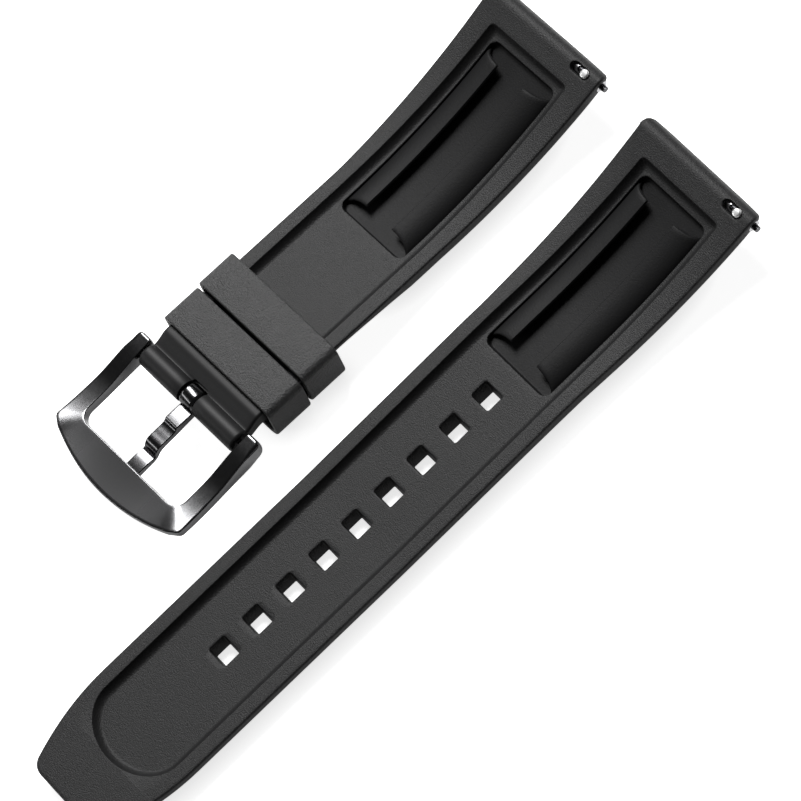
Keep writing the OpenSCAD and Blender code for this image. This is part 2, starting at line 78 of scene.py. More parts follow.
# Lug end: its bar's depth, its length past the bar, its lower edge, and the lengths of flare and thinning
BAR_DEPTH, END_LEN, END_CORNER, FLARE_LEN, TAIL_RAMP = 1.7, 1.45, 2.5, 31.3, 28.0
# Loop, its bar's depth, the slot's depth, the arms' eyes, and the angle at which the buckle droops
LOOP_R, LOOP_DEPTH, SLOT_BACK, EYE_R, DROOP_A = 1.75, 2.0, 1.85, 1.7, 3.0
# Quick-release bars and their levers, the buckle's bar, and the play of a bar in its bore
QR_D, LEVER_TRAVEL, KNOB_D = 1.8, 1.4, 1.3
BB_D, BB_TIP_D, BORE_PLAY = 1.6, 0.8, 0.1

# Radii of the strap's edges: its rims, the lug end's corners, and the tip's corners, upper and lower edge
RIM_R, LUG_CORNER, TIP_CORNER, TIP_TOP_R, TIP_LOW_R = 0.3, 0.7, 1.4, 0.4, 2.2
# Height of the strap's side that stays upright, and the least width of a rim and of half the channel
SIDE_H, RIM_W, CHANNEL_HALF_MIN = 0.4, 1.9, 2.2
# Edges of the channel and of the pocket: lip, length and height of the curve at the wall's foot, corners
CHANNEL_LIP, CHANNEL_FOOT, CHANNEL_FOOT_H, CHANNEL_CORNER = 0.16, 0.98, 0.8, 0.7
POCKET_LIP, POCKET_FOOT, POCKET_FOOT_H, POCKET_CORNER = 0.14, 0.3, 0.3, 1.2
# Length of a recess's wall in plan, so that no two lines of the mesh fall together
WALL = 0.04
# Fins: how far their roots are sunk in the pocket's sides, the depth of their free edge, how far they lean,
# and how far their ends stay clear of the pocket's ends and are cut back
FIN_SUNK, FIN_TOP, FIN_LEAN, FIN_END_GAP, FIN_CUT = 0.1, 0.3, 0.35, 0.9, 1.4
# Tongue holes: how much they narrow towards the outer face, their corners and their rounded lip
HOLE_TAPER, HOLE_CORNER, HOLE_LIP = 0.22, 0.35, 0.09
# Keepers: inner radii above and below, and the rounding of their edges
KEEPER_IN_R, KEEPER_IN_LOW_R, KEEPER_EDGE = 0.6, 1.9, 0.22
# Buckle: how far the arms sag and the crossbar's outer edge lies lower, its taper, and its rounded corners
FRAME_SAG, CROSSBAR_TILT, FRAME_TAPER, FRAME_CORNER, FRAME_IN_R = 0.32, 0.3, 0.2, 0.8, 1.8
# Share of the frame above the bar's axis, the height of the arms over it, and the length over which they thin
FRAME_ABOVE, EYE_TOP, EYE_BLEND = 0.47, 1.2, 7
# Broken edges of the buckle: outer, the more there is at the eyes, inner, and the top of the eyes' ends
FRAME_EDGE, EYE_EDGE, FRAME_IN_EDGE, EYE_END_R = 0.24, 0.3, 0.12, 0.35
# Rounding of the loop's ends, the slot's corners and its edges, the tongue's blade and its knuckle
LOOP_EDGE, SLOT_CORNER, SLOT_EDGE, BLADE_EDGE, KNUCKLE_EDGE = 0.45, 0.5, 0.12, 0.16, 0.6

# Sizes that follow from them
RAIL_R = BEND_R - LUG_T
POCKET_STOP = POCKET_START + POCKET_LEN
POCKET_D = LUG_T - POCKET_FLOOR
THIN_START = POCKET_STOP + 1
TAIL_THIN_STOP = THIN_START + TAIL_RAMP
FIXED_S = HEAD_LEN - KEEPER_BACK - KEEPER_L
FREE_S = FIXED_S - SEAM - KEEPER_L
HEAD_THIN_STOP = FREE_S - 1.5
KEEPER_IN_W, KEEPER_IN_H = STRAP_W + 2 * SLIP, HEAD_T + TAIL_T + KEEPER_GAP
KEEPER_H = KEEPER_IN_H + 2 * KEEPER_T
LOOP_W, SLOT_W, KNUCKLE_W = STRAP_W - 0.4, TONGUE_W + 0.6, TONGUE_W + 0.4
FRAME_IN_W = STRAP_W + 2 * SLIP
FRAME_HALF = FRAME_IN_W / 2 + ARM_W
EYE_W = ARM_W - 0.4
KNOB_X = LUG_W / 2 - 2.5
WINDOW = (KNOB_X - LEVER_TRAVEL - KNOB_D / 2 - 0.6, KNOB_X + KNOB_D / 2 + 0.1, KNOB_D + 0.2)
LUG_ARC = RAIL_R * math.radians(LUG_A)
RISE = FIXED_S - LUG_ARC
DROP = KEEPER_H - KEEPER_T - KEEPER_GAP / 2
LEAN = (RISE - math.sqrt(RISE * RISE - 2 * RAIL_R * (DROP - LUG_T))) / RAIL_R
LUG_REACH = (RAIL_R + LUG_T / 2) * math.sin(math.radians(LUG_A) + END_LEN / RAIL_R)
LUG_REACH += max(0.0, LUG_W / 2 * math.sin(math.radians(PAIR_A)) - PAIR_SHIFT)
BELLY_Y = (TAIL_LEN - LUG_ARC - LUG_REACH) / 2


# Where things lie

def rail(s, lean):
    """Angle, Y and Z of the inner face at distance s from the spring bar."""
    s = np.asarray(s, float)
    turn = math.radians(LUG_A)
    arc = RAIL_R * (turn + lean)
    a = np.where(s < arc, turn - s / RAIL_R, -lean)
    past = np.maximum(0.0, s - arc)
    y = BELLY_Y + RAIL_R * np.sin(a) - past * math.cos(lean)
    z = BEND_R - RAIL_R * np.cos(a) + past * math.sin(lean)
    return a, y, z


def place(x, s, d, lean):
    """Points of one half: across, along from the spring bar, and down from the inner face."""
    a, y, z = rail(s, lean)
    return np.stack(np.broadcast_arrays(x, y + d * np.sin(a), z - d * np.cos(a)), -1)


BAR_Y = float(place(0, 0, BAR_DEPTH, 0)[1])


def turned(points, angle):
    """Points turned about X."""
    x, y, z = points[..., 0], points[..., 1], points[..., 2]
    c, n = math.cos(angle), math.sin(angle)
    return np.stack([x, y * c - z * n, y * n + z * c], -1)


def on_tail(points):
    return points + np.array([PAIR_GAP / 2, 0, 0])


def on_head(points):
    """The buckle half is turned about the middle of its spring bar."""
    turn = math.radians(PAIR_A)
    x, y = points[..., 0], points[..., 1] - BAR_Y
    return np.stack([x * math.cos(turn) - y * math.sin(turn) - PAIR_GAP / 2,
                     x * math.sin(turn) + y * math.cos(turn) + BAR_Y - PAIR_SHIFT, points[..., 2]], -1)


def on_buckle_bar(points, angle=0.0):
    """Points in the frame of the buckle's bar, turned about it."""
    return on_head(turned(points, angle) + place(0, HEAD_LEN, LOOP_DEPTH, LEAN))


def on_loop(points):
    """Points in the frame of the buckle's bar, Y along the strap."""
    return on_buckle_bar(points, -LEAN)


def on_frame(points):
    """Points in the frame of the buckle's bar, Y along the buckle."""
    return on_buckle_bar(points, math.radians(DROOP_A))


def on_lug_bar(half):
    """A function that puts points in the frame of a half's lug bar, Z out of the inner face."""
    return lambda points: half(turned(points, math.radians(LUG_A)) + place(0, 0, BAR_DEPTH, 0))


# Meshes

def mesh_object(name, points, faces, material):
    """A piece from points in millimetres."""
    mesh = bpy.data.meshes.new(name)
    mesh.from_pydata([tuple(p) for p in np.asarray(points, float) * MM], [], [tuple(f) for f in faces])
    mesh.validate()
    piece = bpy.data.objects.new(name, mesh)
    bpy.context.scene.collection.objects.link(piece)
    mesh.materials.append(material)
    return piece


def shade(piece, angle):
    """Makes the piece smooth, except across edges sharper than the given angle."""
    mesh = piece.data
    mesh.polygons.foreach_set("use_smooth", [True] * len(mesh.polygons))
    mesh.set_sharp_from_angle(angle=math.radians(angle))
    mesh.update()


def recalculate(piece):
    """Joins doubled points and turns every face outwards."""
    b = bmesh.new()
    b.from_mesh(piece.data)
    bmesh.ops.remove_doubles(b, verts=b.verts, dist=1e-6)
    bmesh.ops.recalc_face_normals(b, faces=b.faces)
    b.to_mesh(piece.data)
    b.free()


def solid(name, shape, put, material, smooth=40):
    """A closed piece from a shape's points and faces, put in its place."""
    points, faces = shape
    piece = mesh_object(name, put(points), faces, material)
    recalculate(piece)
    shade(piece, smooth)
    return piece


def ring_skin(rings, loop=False):
    """Points and faces of a skin over rings of equal length; loop joins the last ring to the first."""
    rings = np.asarray(rings, float)
    m, n = rings.shape[:2]
    faces = []
    for i in range(m if loop else m - 1):
        k = (i + 1) % m
        for j in range(n):
            q = (j + 1) % n
            faces.append((i * n + j, i * n + q, k * n + q, k * n + j))
    if not loop:
        faces.append(tuple(range(n))[::-1])
        faces.append(tuple((m - 1) * n + j for j in range(n)))
    return rings.reshape(-1, 3), faces


def finish_modifiers(piece):
    """Turns what the modifiers make into the piece's own mesh."""
    depsgraph = bpy.context.evaluated_depsgraph_get()
    mesh = bpy.data.meshes.new_from_object(piece.evaluated_get(depsgraph))
    piece.modifiers.clear()
    piece.data = mesh


def combine(piece, other, operation):
    """Adds the other piece to this one or takes it out, and deletes it."""
    m = piece.modifiers.new("combine", "BOOLEAN")
    m.operation, m.solver, m.object = operation, "EXACT", other
    finish_modifiers(piece)
    bpy.data.objects.remove(other)


def carve(piece, shape, put, material):
    """Takes a shape out of the piece."""
    combine(piece, solid("cutter", shape, put, material), "DIFFERENCE")


def join(pieces):
    """Joins pieces into the first one."""
    with bpy.context.temp_override(active_object=pieces[0], selected_editable_objects=pieces):
        bpy.ops.object.join()
    return pieces[0]


# Profiles and outlines

def ramp(v, a, b):
    """Share of the way from a to b, kept between 0 and 1."""
    return np.clip((np.asarray(v, float) - a) / (b - a), 0, 1)


def smooth_step(t):
    return t * t * (3 - 2 * t)


def round_off(e, r):
    """Height lost at distance e from an end that is rounded with radius r."""
    gap = np.clip(r - np.asarray(e, float), 0, r)
    return r - np.sqrt(np.maximum(0, r * r - gap * gap))


def quarter_steps(r, step):
    """Steps round a broken edge of radius r, from one face to the next: distance from each."""
    turn = np.radians(np.arange(0, 91, step))
    return [(r * (1 - math.cos(v)), r * (1 - math.sin(v))) for v in turn]


def at_height(outline, z):
    return np.column_stack([outline, np.full(len(outline), z)])


def sunk(d, depth, lip, foot, foot_h):
    """Depth at distance d inside the edge of a recess: a round lip, a wall and a curve at its foot."""
    d = np.asarray(d, float)
    over_lip = lip - np.sqrt(np.maximum(0, lip ** 2 - (np.clip(d, -lip, 0) + lip) ** 2))
    down_wall = (depth - foot_h - lip) * np.clip(d / WALL, 0, 1)
    before_floor = np.clip(WALL + foot - d, 0, foot) / foot
    at_foot = foot_h * (1 - before_floor ** 1.7)
    return np.where(d <= WALL, over_lip + down_wall, depth - foot_h + at_foot)


def edge_lines(lip, foot):
    """Distances inside an edge at which a mesh needs a line to follow sunk()."""
    on_lip = [-lip, -0.65 * lip, -0.25 * lip, 0]
    return np.array(on_lip + [WALL + foot * share for share in (0, 0.04, 0.15, 0.35, 0.65, 1)])


CHANNEL_LINES = edge_lines(CHANNEL_LIP, CHANNEL_FOOT)
# The pocket's corners need a few more lines
POCKET_LINES = np.append(edge_lines(POCKET_LIP, POCKET_FOOT), [0.48, 0.65, 0.85, 1.05, 1.2])


def inside_corner(qx, qs, r):
    """Distance inside two sides that meet in a corner of radius r, from the distances past its centre."""
    return r - np.hypot(np.maximum(qx, 0), np.maximum(qs, 0)) - np.minimum(np.maximum(qx, qs), 0)


def channel_half(s):
    """Half the channel's width."""
    return (CHANNEL_LUG_W + (CHANNEL_W - CHANNEL_LUG_W) * ramp(s, 0, FLARE_LEN)) / 2


def in_channel(x, s, stop, round_l):
    """Distance inside the channel, which has rounded corners at the lug end and an elliptic tip end."""
    half = channel_half(s)
    qx, qs = np.abs(x) - half + CHANNEL_CORNER, CHANNEL_START - s + CHANNEL_CORNER
    straight = inside_corner(qx, qs, CHANNEL_CORNER)
    q = np.maximum(0, s - (stop - round_l))
    f = np.sqrt((x / half) ** 2 + (q / round_l) ** 2)
    slope = np.sqrt((x / half ** 2) ** 2 + (q / round_l ** 2) ** 2)
    return np.where(q > 0, f * (1 - f) / np.maximum(slope, 1e-6), straight)


def in_pocket(x, s):
    """Distance inside the pocket."""
    middle, half_l = (POCKET_START + POCKET_STOP) / 2, POCKET_LEN / 2
    qx = np.abs(x) - POCKET_W / 2 + POCKET_CORNER
    qs = np.abs(s - middle) - half_l + POCKET_CORNER
    return inside_corner(qx, qs, POCKET_CORNER)


def lug_half_w(s):
    """Half the width of a strap, which flares towards its lug end."""
    flare = (LUG_W - STRAP_W) / 2 * (1 - ramp(s, 0, FLARE_LEN))
    return STRAP_W / 2 + flare - round_off(s + END_LEN, LUG_CORNER)


def tail_thick(s):
    return LUG_T - (LUG_T - TAIL_T) * ramp(s, THIN_START, TAIL_THIN_STOP)


def head_thick(s):
    return LUG_T - (LUG_T - HEAD_T) * ramp(s, THIN_START, HEAD_THIN_STOP)


def inset(outline, by):
    """The outline moved inwards; it runs anticlockwise."""
    normals = 0
    for v in (np.roll(outline, -1, 0) - outline, outline - np.roll(outline, 1, 0)):
        length = np.maximum(1e-9, np.linalg.norm(v, axis=1))[:, None]
        normals = normals + np.stack([-v[:, 1], v[:, 0]], 1) / length
    return outline + normals / np.maximum(0.5, (normals * normals).sum(1) / 2)[:, None] * by


def rounded_bar(outline, half_w, r):
    """A prism along X over an outline in Y and Z, with its two ends rounded."""
    steps = [(half_w - x, by) for x, by in quarter_steps(r, 15)]
    flat = [((half_w - r) * share, 0) for share in (-0.9, -0.4, 0.4, 0.9)]
    steps = [(-x, by) for x, by in steps] + flat + steps[::-1]
    return ring_skin([np.column_stack([np.full(len(outline), x), inset(outline, by)]) for x, by in steps])


def lathe(path, sides, loop=False):
    """A shape turned about X, from places along it and radii."""
    t = np.linspace(0, 2 * np.pi, sides, endpoint=False)
    rings = [np.stack([np.full(sides, x), r * np.cos(t), r * np.sin(t)], -1) for x, r in path]
    return ring_skin(rings, loop)


def rod(d, start, stop):
    """A round bar along X."""
    return lathe([(start, d / 2), (stop, d / 2)], 48)


def along(path, count):
    """Points at equal distances along a path."""
    path = np.asarray(path, float)
    run = np.concatenate([[0], np.cumsum(np.linalg.norm(np.diff(path, axis=0), axis=1))])
    at = np.linspace(0, 1, count) * run[-1]
    return np.stack([np.interp(at, run, path[:, 0]), np.interp(at, run, path[:, 1])], 1)


def curve_through(points, steps=6):
    """A smooth open curve through the given points."""
    p = np.asarray(points, float)
    p = np.concatenate([[2 * p[0] - p[1]], p, [2 * p[-1] - p[-2]]])
    t = np.linspace(0, 1, steps, endpoint=False)[:, None]
    out = []
    for a, b, c, d in zip(p[:-3], p[1:-2], p[2:-1], p[3:]):
        square, cube = 2 * a - 5 * b + 4 * c - d, 3 * b - a - 3 * c + d
        out.append(0.5 * (2 * b + (c - a) * t + square * t ** 2 + cube * t ** 3))
    return np.concatenate(out + [p[-2:-1]])


# Rubber pieces

def strap_columns(half_w, channel_w, round_w):
    """Places across one half of a strap, from its edge to its middle, at one station."""
    edge = half_w - np.array([0, 0.04, 0.14, 0.3, 0.62, 1.05, 1.5])
    spread = min(1 / max(0.3, round_w), 0.6 * channel_w / (WALL + CHANNEL_FOOT))
    channel = channel_w - CHANNEL_LINES * spread
    pocket = POCKET_W / 2 - POCKET_LINES
    pocket = pocket * min(1, (channel[-1] - 0.02) / pocket[0])
    between = channel[-1] + (pocket[0] - channel[-1]) * np.array([0.3, 0.65])
    floor = pocket[-1] * np.linspace(0.86, 0, 7)
    return np.concatenate([edge, channel, between, pocket, floor])


def lug_stations():
    """Places along a strap from its lug end to the pocket's far end."""
    end = -END_LEN * np.cos(np.radians(np.arange(0, 91, 13)))
    corner = np.array([0.15, 0.4, 0.7, 1.05, 1.6, 2.2])
    channel = CHANNEL_START + np.append(CHANNEL_LINES, [0.45, 0.6, 0.8])
    middle = np.linspace(POCKET_START + 2, POCKET_STOP - 2, 24)
    near, far = POCKET_START + POCKET_LINES, POCKET_STOP - POCKET_LINES
    return np.concatenate([end, corner, channel, near, middle, far])


def slab(x, s, top, bottom, lean, half):
    """Points and faces of a closed strap: one grid on the wrist side and one on the outer face."""
    m, n = x.shape
    upper = place(x, s[:, None], top, lean).reshape(-1, 3)
    lower = place(x, s[:, None], bottom, lean).reshape(-1, 3)
    i, j = np.meshgrid(np.arange(m - 1), np.arange(n - 1), indexing="ij")
    a = (i * n + j).ravel()
    up = np.stack([a, a + n, a + n + 1, a + 1], 1)
    down = up[:, ::-1] + m * n
    rim = list(range(n)) + [k * n + n - 1 for k in range(1, m)]
    rim += [(m - 1) * n + k for k in range(n - 2, -1, -1)] + [k * n for k in range(m - 2, 0, -1)]
    rim = np.array(rim)
    nxt = np.roll(rim, -1)
    side = np.stack([rim, nxt, nxt + m * n, rim + m * n], 1)
    return half(np.concatenate([upper, lower])), np.concatenate([up, down, side])


def strap_half(name, stations, half_w, channel_end, rim, foot, tip, lean, half, materials):
    """One rubber half from its outline, its channel's end and the depths of its rims and its outer face."""
    s = np.unique(np.round(np.concatenate(stations), 4))
    full = half_w(s)
    q = ramp(s, channel_end[0] - channel_end[1], channel_end[0])
    channel_w = np.maximum(channel_half(s) * np.sqrt(np.maximum(0, 1 - q * q)), CHANNEL_HALF_MIN)
    side_on = np.where(q > 0, np.sqrt(np.maximum(1e-4, 1 - q * q)), 1)
    left = np.array([strap_columns(w, min(c, w - RIM_W), r) for w, c, r in zip(full, channel_w, side_on)])
    x = np.concatenate([-left, left[:, -2::-1]], 1)
    ss = np.broadcast_to(s[:, None], x.shape)
    e = full[:, None] - np.abs(x)
    top = rim(ss) + round_off(e, RIM_R) + round_off(ss + END_LEN, END_LEN) + tip(ss, TIP_TOP_R)
    bottom = foot(ss) - round_off(ss + END_LEN, END_CORNER) - tip(ss, TIP_LOW_R)
    rise = bottom - top + round_off(e, RIM_R) - SIDE_H
    bottom = bottom - rise * round_off(e, EDGE_R) / EDGE_R
    channel = sunk(in_channel(x, ss, *channel_end), CHANNEL_D, CHANNEL_LIP, CHANNEL_FOOT, CHANNEL_FOOT_H)
    pocket = sunk(in_pocket(x, ss), POCKET_D - CHANNEL_D, POCKET_LIP, POCKET_FOOT, POCKET_FOOT_H)
    points, faces = slab(x, s, top + channel + pocket, bottom, lean, half)
    piece = mesh_object(name, points, faces, materials[0])
    piece.data.materials.append(materials[1])
    # Faces in the pocket take the second material, a darker copy of the rubber with less sheen: painted shade
    # in the deep recess
    inside = (in_pocket(x, ss) > -0.01).ravel()
    for face in piece.data.polygons:
        if all(v < inside.size and inside[v] for v in face.vertices):
            face.material_index = 1
    return piece


def fins(name, half, lean, material):
    """Two thin fins that curl from the pocket's floor over towards each other."""
    free_edge, root = FIN_GAP / 2, POCKET_W / 2 + FIN_SUNK
    t = np.radians(np.linspace(0, 90, 15))

    def curve(by):
        reach, rise = root - free_edge - by, POCKET_D - FIN_TOP - by
        return np.stack([-free_edge - reach * np.cos(t), POCKET_D - rise * np.sin(t)], 1)

    outer, inner = curve(0), curve(FIN_T)
    edge = (outer[-1] + inner[-1]) / 2 + np.array([FIN_T * 0.35, 0])
    foot = [[-root + FIN_T, POCKET_D + 0.2], [-root, POCKET_D + 0.2]]
    loop = np.concatenate([foot[:1], inner, [edge], outer[::-1], foot[1:]])
    lift = np.concatenate([[0], t / (np.pi / 2), [1], t[::-1] / (np.pi / 2), [0]])
    cut_back = FIN_END_GAP + FIN_CUT * (1 - (1 - lift) ** 2)
    middle = (loop + loop[::-1]) / 2
    thin_end = 0.012
    shares = np.concatenate([[0, 0.004, thin_end], np.linspace(0.03, 0.97, 30), [1 - thin_end, 0.996, 1]])
    pieces = []
    for side in (1, -1):
        rings = []
        for k in shares:
            s = POCKET_START + cut_back + k * (POCKET_LEN - 2 * cut_back)
            thin = 1 - 0.55 * (1 - min(1, min(k, 1 - k) / thin_end)) ** 2
            ring = middle + (loop - middle) * thin
            rings.append(place(ring[:, 0] * side - FIN_LEAN * lift, s, ring[:, 1], lean))
        pieces.append(solid(name, ring_skin(rings), half, material, 50))
    return join(pieces)


def window_shape():
    """The slot over the release lever, with a lip that opens outwards."""
    start, stop, w = WINDOW
    t = np.radians(np.arange(-90, 90, 12))
    lip = ((-0.14, 0), (-0.04, 0.05), (0.02, 0.16), (1, 0.9))
    rings = []
    for z, grow in [(0, 0)] + [(BAR_DEPTH + rise, grow) for rise, grow in lip]:
        r = w / 2 + grow
        right = np.stack([stop - w / 2 + r * np.cos(t), r * np.sin(t)], 1)
        left = np.stack([start + w / 2 - r * np.cos(t), -r * np.sin(t)], 1)
        rings.append(at_height(np.concatenate([right, left]), z))
    return ring_skin(rings)


def carve_lug_end(piece, half, material):
    """The bore of the quick-release bar and the window over its lever."""
    for shape in (rod(QR_D + BORE_PLAY, -LUG_W, LUG_W), window_shape()):
        carve(piece, shape, on_lug_bar(half), material)


def hole_tree():
    """Repeats a hole's cutter along the strap and lifts its upper part to the channel's floor."""
    tree = bpy.data.node_groups.new("tongue_holes", "GeometryNodeTree")
    tree.is_modifier = True
    floats = ("Pitch", "Ramp Start", "Ramp Stop", "Ramp Height")
    sockets(tree, "INPUT", ("Cutter", "Geometry"), ("Count", "Int"), *((name, "Float") for name in floats),
            ("Material", "Material"))
    sockets(tree, "OUTPUT", ("Cutters", "Geometry"))
    start, end = tree.nodes.new("NodeGroupInput"), tree.nodes.new("NodeGroupOutput")

    step = tree.nodes.new("ShaderNodeCombineXYZ")
    line = add(tree, "GeometryNodeMeshLine", mode="OFFSET")
    copies = tree.nodes.new("GeometryNodeInstanceOnPoints")
    real = tree.nodes.new("GeometryNodeRealizeInstances")
    wire(tree, (start, "Pitch", step, "Y"), (start, "Count", line, "Count"), (step, "Vector", line, "Offset"),
         (line, "Mesh", copies, "Points"), (start, "Cutter", copies, "Instance"),
         (copies, "Instances", real, "Geometry"))

    where = tree.nodes.new("GeometryNodeInputPosition")
    parts = tree.nodes.new("ShaderNodeSeparateXYZ")
    height = add(tree, "ShaderNodeMapRange", To_Max=0)
    upper = add(tree, "GeometryNodeInputNamedAttribute", data_type="FLOAT", Name="upper")
    lift = add(tree, "ShaderNodeMath", operation="MULTIPLY")
    offset = tree.nodes.new("ShaderNodeCombineXYZ")
    wire(tree, (where, "Position", parts, "Vector"), (parts, "Y", height, "Value"),
         (start, "Ramp Start", height, "From Min"), (start, "Ramp Stop", height, "From Max"),
         (start, "Ramp Height", height, "To Min"), (height, "Result", lift, 0), (upper, "Attribute", lift, 1),
         (lift, 0, offset, "Z"))

    lifted = tree.nodes.new("GeometryNodeSetPosition")
    coated = tree.nodes.new("GeometryNodeSetMaterial")
    wire(tree, (real, "Geometry", lifted, "Geometry"), (offset, "Vector", lifted, "Offset"),
         (lifted, "Geometry", coated, "Geometry"), (start, "Material", coated, "Material"),
         (coated, "Geometry", end, "Cutters"))
    return tree


def hole_outline():
    """A hole's rounded rectangle: the centres of its corners and the directions in which they grow."""
    outline = []
    quarter = np.radians(np.arange(0, 91, 15))
    for sx, sy, t in ((1, 1, quarter), (1, -1, quarter[::-1]), (-1, -1, quarter), (-1, 1, quarter[::-1])):
        for v in t:
            outline.append((sx * (HOLE_W / 2 - HOLE_CORNER), sx * HOLE_CORNER * math.sin(v),
                            sy * (HOLE_L / 2 - HOLE_CORNER), sy * HOLE_CORNER * math.cos(v)))
    return np.array(outline).T


def tongue_holes(material):
    """The cutters of all tongue holes: tapered, with a rounded lip on both faces of the strap."""
    x, dx, y, dy = hole_outline()
    first = TAIL_LEN - HOLE_START
    lip, half_lip = HOLE_LIP, HOLE_LIP * 0.55
    upper = [(-0.6, 0.8), (-0.02, lip + 0.03), (0.03, half_lip), (lip, 0)]
    lower = [(-lip, -HOLE_TAPER), (-0.03, half_lip - HOLE_TAPER), (0.02, lip - HOLE_TAPER), (0.6, 0.6)]
    floor = LUG_T - TAIL_T + CHANNEL_D
    rings = []
    for depth, grow in [(floor + d, g) for d, g in upper] + [(LUG_T + d, g) for d, g in lower]:
        size = 1 + grow / HOLE_CORNER
        rings.append(place(x + dx * size, first + y + dy * size, depth, 0))
    points, faces = ring_skin(rings)
    cutter = mesh_object("cutter", on_tail(points), faces, material)
    is_upper = cutter.data.attributes.new("upper", "FLOAT", "POINT")
    is_upper.data.foreach_set("value", [1.0] * len(x) * len(upper) + [0.0] * len(x) * len(lower))

    m = cutter.modifiers.new("holes", "NODES")
    m.node_group = hole_tree()
    ramp_y = [float(rail(s, 0)[1]) * MM for s in (THIN_START, TAIL_THIN_STOP)]
    sizes = {"Count": HOLES, "Pitch": HOLE_PITCH * MM, "Ramp Start": ramp_y[0], "Ramp Stop": ramp_y[1],
             "Ramp Height": (LUG_T - TAIL_T) * MM, "Material": material}
    for socket in m.node_group.interface.items_tree:
        if socket.in_out == "INPUT" and socket.name in sizes:
            m[socket.identifier] = sizes[socket.name]
    finish_modifiers(cutter)
    recalculate(cutter)
    return cutter


def tail_rubber(rubber_material, pocket_shade_material):
    """The half with the tongue holes, and its fins."""
    channel_stop = TAIL_LEN - CHANNEL_STOP

    def half_w(s):
        e = TAIL_LEN - s
        bow = np.maximum(0, TIP_L - e)
        return lug_half_w(s) - bow * bow / 2 / TIP_BOW_R - round_off(e, TIP_CORNER)

    near_tip = [7.4, 6.4, 5.4, 4.4, 3.4, 2.6, 2.2, 1.8, 1.4, 1.05, 0.75, 0.5, 0.3, 0.15, 0.05, 0]
    stations = [lug_stations(),
                np.linspace(THIN_START, TAIL_LEN - TIP_L, 56),
                channel_stop - CHANNEL_ROUND * (1 - np.sin(np.radians(np.arange(0, 70, 4)))),
                np.linspace(channel_stop - 0.36, channel_stop + 0.2, 12),
                TAIL_LEN - np.array(near_tip)]
    piece = strap_half("tail_rubber", stations, half_w, (channel_stop, CHANNEL_ROUND),
                       rim=lambda s: LUG_T - tail_thick(s), foot=lambda s: np.full(np.shape(s), LUG_T),
                       tip=lambda s, r: round_off(TAIL_LEN - s, r), lean=0.0, half=on_tail,
                       materials=(rubber_material, pocket_shade_material))
    combine(piece, tongue_holes(rubber_material), "DIFFERENCE")
    carve_lug_end(piece, on_tail, rubber_material)
    shade(piece, 40)
    return join([piece, fins("tail_fins", on_tail, 0.0, pocket_shade_material)])


def loop_outline():
    """Outline of the loop in the plane across the buckle's bar: a round end, a neck and the strap's end."""
    join_y, neck, neck_stop, low = KEEPER_BACK + 0.6, 1.4, 3.9, LOOP_DEPTH - HEAD_T
    k = np.linspace(0, 1, 12)
    blend = smooth_step(k)
    turn = math.acos(neck / LOOP_R)
    edge = LOOP_R * math.sin(turn)
    top = np.stack([neck_stop - (neck_stop - neck) * k, LOOP_DEPTH - (LOOP_DEPTH - edge) * blend], 1)
    t = np.linspace(turn, 2 * np.pi - turn, 40)[1:-1]
    round_end = np.stack([LOOP_R * np.cos(t), LOOP_R * np.sin(t)], 1)
    under = np.stack([neck + (neck_stop - neck) * k, -edge + (low + edge) * blend], 1)
    return np.concatenate([[[join_y, LOOP_DEPTH]], top, round_end, under, [[join_y, low]]])


def slot_shape():
    """The slot for the tongue, open towards the crossbar, with rounded inner corners."""
    r, front = SLOT_CORNER, -5
    t = np.radians(np.arange(0, 91, 15))
    left = np.stack([-SLOT_W / 2 + r * (1 - np.cos(t)), SLOT_BACK - r * (1 - np.sin(t))], 1)
    outline = np.concatenate([[[-SLOT_W / 2, front]], left, left[::-1] * [-1, 1], [[SLOT_W / 2, front]]])
    return ring_skin([at_height(outline, z) for z in (-4, 4)])


def end_loop(material):
    """The end of the buckle half round the buckle's bar, with the slot for the tongue."""
    piece = solid("end_loop", rounded_bar(loop_outline(), LOOP_W / 2, LOOP_EDGE), on_loop, material)
    for shape in (slot_shape(), rod(BB_D + BORE_PLAY, -LOOP_W, LOOP_W)):
        carve(piece, shape, on_loop, material)
    edges = piece.modifiers.new("edges", "BEVEL")
    edges.width, edges.segments = SLOT_EDGE * MM, 2
    edges.limit_method, edges.angle_limit = "ANGLE", math.radians(50)
    finish_modifiers(piece)
    shade(piece, 35)
    return piece


def buckle_rubber(rubber_material, pocket_shade_material, loop_material):
    """The half with the buckle, its fins and its end loop."""
    stations = [lug_stations(), np.linspace(THIN_START, HEAD_THIN_STOP, 12),
                np.linspace(FREE_S, FIXED_S + KEEPER_L - 0.2, 8)]
    piece = strap_half("buckle_rubber", stations, lug_half_w, (HEAD_LEN, 1.0),
                       rim=lambda s: np.zeros(np.shape(s)), foot=head_thick,
                       tip=lambda s, r: np.zeros(np.shape(s)), lean=LEAN, half=on_head,
                       materials=(rubber_material, pocket_shade_material))
    carve_lug_end(piece, on_head, rubber_material)
    shade(piece, 40)
    return join([piece, fins("head_fins", on_head, LEAN, pocket_shade_material), end_loop(loop_material)])


def soft_rect(w, h, r_top, r_low, steps=8):
    """Outline of a rectangle with rounded corners, from its upper right one anticlockwise."""
    points = []
    for q, (sx, sz, r) in enumerate(((1, 1, r_top), (-1, 1, r_top), (-1, -1, r_low), (1, -1, r_low))):
        for v in np.radians(np.linspace(q * 90, q * 90 + 90, steps)):
            points.append((sx * (w / 2 - r) + r * math.cos(v), sz * (h / 2 - r) + r * math.sin(v)))
    return np.array(points)


